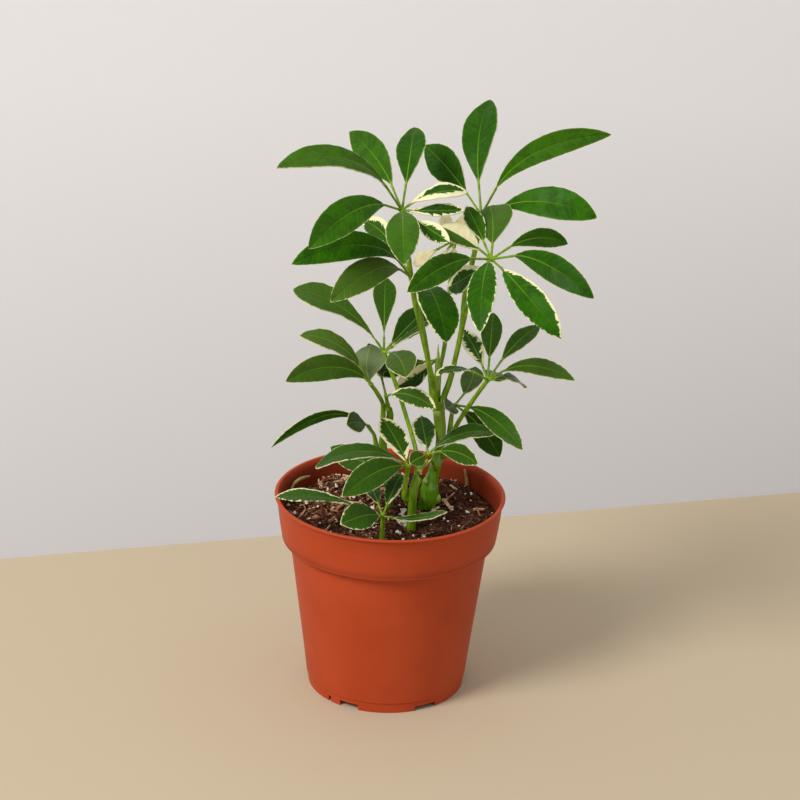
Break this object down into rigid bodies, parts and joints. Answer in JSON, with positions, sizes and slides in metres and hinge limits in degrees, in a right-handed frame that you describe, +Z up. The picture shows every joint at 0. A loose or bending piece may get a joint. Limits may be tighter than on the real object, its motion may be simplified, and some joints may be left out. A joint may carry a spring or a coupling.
{
  "type": "potted umbrella plant",
  "caption": "Small variegated schefflera with umbrella-shaped leaves on upright green stems, growing in soil in a round terracotta-coloured plastic nursery pot.",
  "frame": {"origin": "centre of the pot's foot, on the surface it stands on", "axes": "+Z up, +Y towards the back of the plant, +X to its right seen from the front"},
  "size_m": [0.147, 0.1285, 0.2749],
  "materials": {
    "terracotta_plastic": "satin injection-moulded polypropylene, faintly waxy",
    "potting_soil": "rough, damp peat with bark chips and white perlite",
    "stem_green": "smooth, faintly waxy green bark",
    "leaf_green": "semi-gloss leaf, deep green with a thin cream margin",
    "leaf_cream": "semi-gloss leaf, cream with green flecks",
    "young_green": "soft pale green young growth"
  },
  "bodies": {
    "root": {"pot": "terracotta_plastic", "soil": "potting_soil", "main_stem": "stem_green", "front_stem": "stem_green", "back_stem": "stem_green", "seedling_stem": "stem_green", "leaf_crown_left": "leaf_green", "leaf_crown_right": "leaf_green", "leaf_front_right": "leaf_green", "leaf_upper_left": "leaf_green", "leaf_cream_back": "leaf_cream", "leaf_mid_left": "leaf_green", "leaf_low_left": "leaf_green", "leaf_pair": "leaf_green", "leaf_inner": "leaf_green", "leaf_folded": "leaf_green", "leaf_fork": "leaf_green", "leaf_stem_front": "leaf_green", "leaf_right": "leaf_green", "leaf_right_back": "leaf_green", "leaf_seedling": "leaf_green", "bud_cluster": "young_green", "top_shoot": "young_green"}
  },
  "joints": []
}
